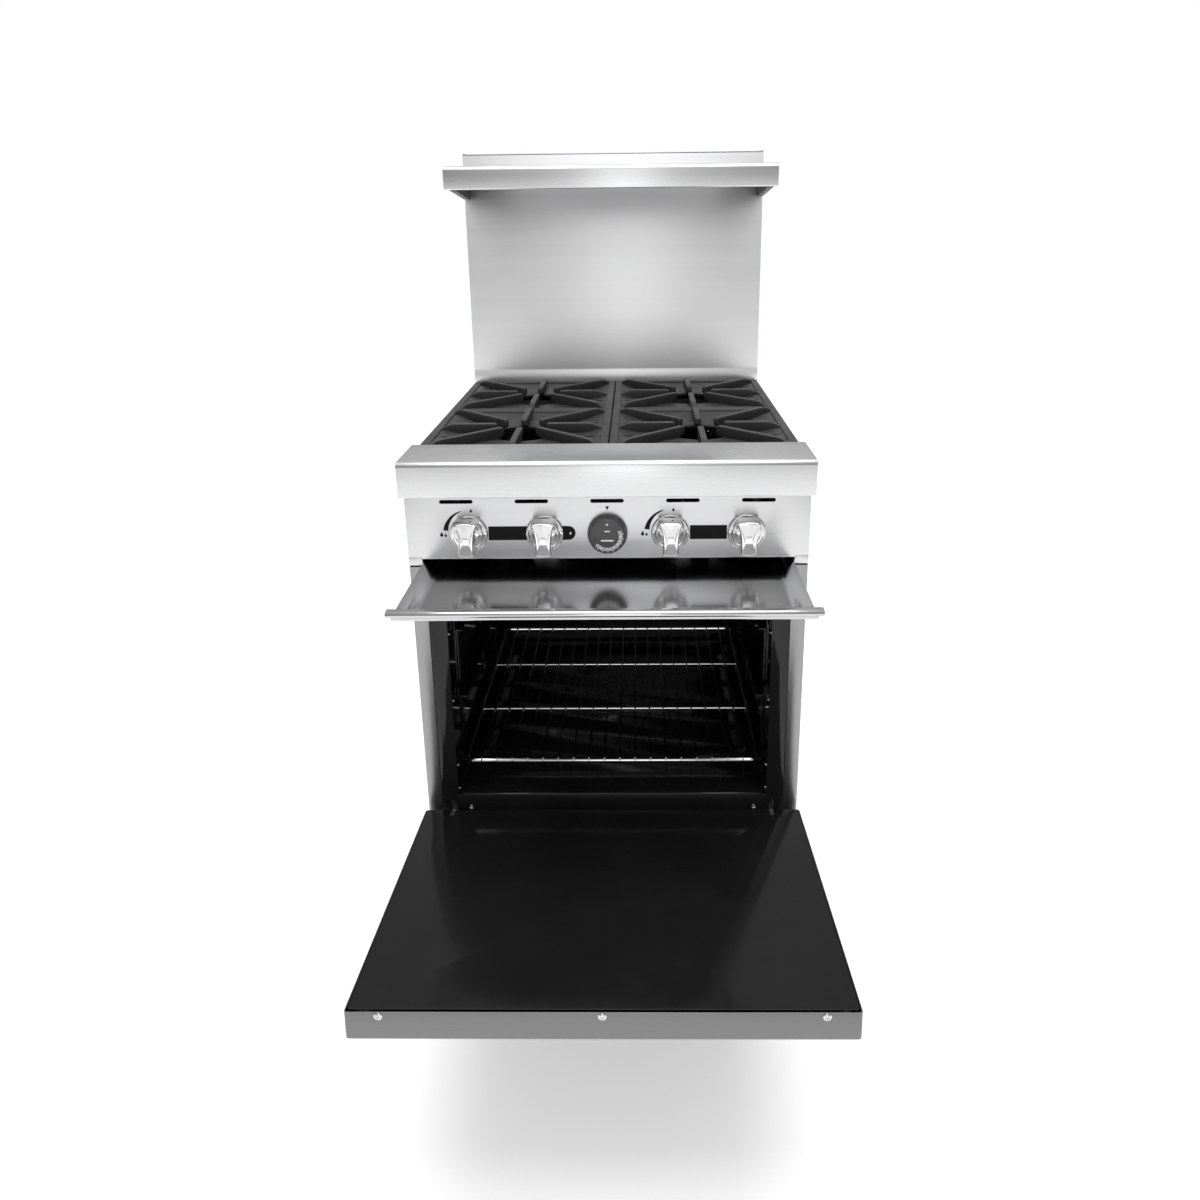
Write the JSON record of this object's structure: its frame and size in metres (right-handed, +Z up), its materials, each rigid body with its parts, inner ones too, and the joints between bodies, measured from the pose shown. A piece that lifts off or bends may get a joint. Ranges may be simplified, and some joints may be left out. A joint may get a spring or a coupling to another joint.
{
  "type": "commercial gas range",
  "caption": "Restaurant gas range with open burners under cast-iron grates, a drop-down oven door, a pull-out crumb tray, a flue riser and a high shelf, on legs.",
  "frame": {"origin": "middle of the footprint at floor level, with the oven door open and the crumb tray drawn out as stored", "axes": "+Z up, +X to the right seen from the front, and the front faces -Y"},
  "size_m": [0.61, 1.215, 1.37],
  "materials": {
    "stainless": "brushed stainless steel sheet with a fine horizontal grain",
    "galvanised": "dull galvanised sheet",
    "enamel": "glossy black porcelain enamel",
    "cast_iron": "matte black cast iron with a fine sand texture",
    "black_paint": "satin black heat-proof paint",
    "chrome": "bright nickel chrome plate",
    "brass": "turned brass",
    "dial": "dark grey dial with pale marks",
    "mineral_wool": "pressed mineral wool batt"
  },
  "bodies": {
    "range_body": {"base_frame": "galvanised", "leg_front_left": "chrome", "leg_front_right": "chrome", "leg_rear_left": "chrome", "leg_rear_right": "chrome", "side_panel_left": "stainless", "side_panel_right": "stainless", "rear_panel": "galvanised", "kick_panel": "stainless", "oven_face_frame": "enamel", "oven_liner": "enamel", "oven_floor": "enamel", "oven_insulation": "mineral_wool", "oven_burner": "cast_iron", "rack_guide_left": "enamel", "rack_guide_right": "enamel", "door_hinge_left": "galvanised", "door_hinge_right": "galvanised", "control_panel": "stainless", "gas_manifold": "galvanised", "burner_valve_1": "brass", "burner_valve_2": "brass", "burner_valve_3": "brass", "burner_valve_4": "brass", "oven_thermostat": "galvanised", "cooktop_frame": "cast_iron", "burner_venturi_front_left": "cast_iron", "burner_venturi_front_right": "cast_iron", "burner_venturi_rear_left": "cast_iron", "burner_venturi_rear_right": "cast_iron", "landing_ledge": "stainless", "tray_runner_left": "galvanised", "tray_runner_right": "galvanised", "backguard_panel": "stainless", "flue_riser": "stainless", "high_shelf": "stainless", "shelf_bracket_left": "black_paint", "shelf_bracket_right": "black_paint"},
    "oven_door": {"door_outer_panel": "stainless", "door_inner_panel": "enamel", "door_handle": "stainless"},
    "levelling_foot_front_left": {"levelling_foot_front_left": "chrome"},
    "levelling_foot_front_right": {"levelling_foot_front_right": "chrome"},
    "levelling_foot_rear_left": {"levelling_foot_rear_left": "chrome"},
    "levelling_foot_rear_right": {"levelling_foot_rear_right": "chrome"},
    "oven_rack": {"oven_rack": "chrome"},
    "burner_knob_1": {"burner_knob_1": "chrome"},
    "burner_knob_2": {"burner_knob_2": "chrome"},
    "burner_knob_3": {"burner_knob_3": "chrome"},
    "burner_knob_4": {"burner_knob_4": "chrome"},
    "thermostat_dial": {"thermostat_dial": "dial"},
    "burner_head_front_left": {"burner_head_front_left": "cast_iron"},
    "grate_front_left": {"grate_front_left": "cast_iron"},
    "burner_head_front_right": {"burner_head_front_right": "cast_iron"},
    "grate_front_right": {"grate_front_right": "cast_iron"},
    "burner_head_rear_left": {"burner_head_rear_left": "cast_iron"},
    "grate_rear_left": {"grate_rear_left": "cast_iron"},
    "burner_head_rear_right": {"burner_head_rear_right": "cast_iron"},
    "grate_rear_right": {"grate_rear_right": "cast_iron"},
    "crumb_tray": {"crumb_tray": "stainless"}
  },
  "joints": [
    {"name": "oven_door_hinge", "type": "hinge", "parent": "range_body", "child": "oven_door", "pos_m": [0, -0.17751, 0.303], "axis": [-1, 0, 0], "range_deg": [0, 84.6]},
    {"name": "crumb_tray_slide", "type": "slide", "parent": "range_body", "child": "crumb_tray", "axis": [0, -1, 0], "range_m": [-0.174, 0.2]},
    {"name": "oven_rack_slide", "type": "slide", "parent": "range_body", "child": "oven_rack", "axis": [0, 1, 0], "range_m": [-0.35, 0]},
    {"name": "burner_knob_1_turn", "type": "hinge", "parent": "range_body", "child": "burner_knob_1", "pos_m": [-0.208, -0.15591, 0.797], "axis": [0, -1, 0], "range_deg": [0, 90]},
    {"name": "burner_knob_2_turn", "type": "hinge", "parent": "range_body", "child": "burner_knob_2", "pos_m": [-0.094, -0.15591, 0.797], "axis": [0, -1, 0], "range_deg": [0, 90]},
    {"name": "burner_knob_3_turn", "type": "hinge", "parent": "range_body", "child": "burner_knob_3", "pos_m": [0.094, -0.15591, 0.797], "axis": [0, -1, 0], "range_deg": [0, 90]},
    {"name": "burner_knob_4_turn", "type": "hinge", "parent": "range_body", "child": "burner_knob_4", "pos_m": [0.208, -0.15591, 0.797], "axis": [0, -1, 0], "range_deg": [0, 90]},
    {"name": "thermostat_dial_turn", "type": "hinge", "parent": "range_body", "child": "thermostat_dial", "pos_m": [0, -0.15591, 0.797], "axis": [0, -1, 0], "range_deg": [0, 290]},
    {"name": "grate_front_left_lift", "type": "slide", "parent": "range_body", "child": "grate_front_left", "axis": [0, 0, 1], "range_m": [0, 0.12]},
    {"name": "grate_front_right_lift", "type": "slide", "parent": "range_body", "child": "grate_front_right", "axis": [0, 0, 1], "range_m": [0, 0.12]},
    {"name": "grate_rear_left_lift", "type": "slide", "parent": "range_body", "child": "grate_rear_left", "axis": [0, 0, 1], "range_m": [0, 0.12]},
    {"name": "grate_rear_right_lift", "type": "slide", "parent": "range_body", "child": "grate_rear_right", "axis": [0, 0, 1], "range_m": [0, 0.12]},
    {"name": "burner_head_front_left_lift", "type": "slide", "parent": "range_body", "child": "burner_head_front_left", "axis": [0, 0, 1], "range_m": [0, 0.008]},
    {"name": "burner_head_front_right_lift", "type": "slide", "parent": "range_body", "child": "burner_head_front_right", "axis": [0, 0, 1], "range_m": [0, 0.008]},
    {"name": "burner_head_rear_left_lift", "type": "slide", "parent": "range_body", "child": "burner_head_rear_left", "axis": [0, 0, 1], "range_m": [0, 0.008]},
    {"name": "burner_head_rear_right_lift", "type": "slide", "parent": "range_body", "child": "burner_head_rear_right", "axis": [0, 0, 1], "range_m": [0, 0.008]},
    {"name": "levelling_foot_front_left_screw", "type": "slide", "parent": "range_body", "child": "levelling_foot_front_left", "axis": [0, 0, -1], "range_m": [0, 0.025]},
    {"name": "levelling_foot_front_right_screw", "type": "slide", "parent": "range_body", "child": "levelling_foot_front_right", "axis": [0, 0, -1], "range_m": [0, 0.025]},
    {"name": "levelling_foot_rear_left_screw", "type": "slide", "parent": "range_body", "child": "levelling_foot_rear_left", "axis": [0, 0, -1], "range_m": [0, 0.025]},
    {"name": "levelling_foot_rear_right_screw", "type": "slide", "parent": "range_body", "child": "levelling_foot_rear_right", "axis": [0, 0, -1], "range_m": [0, 0.025]}
  ]
}
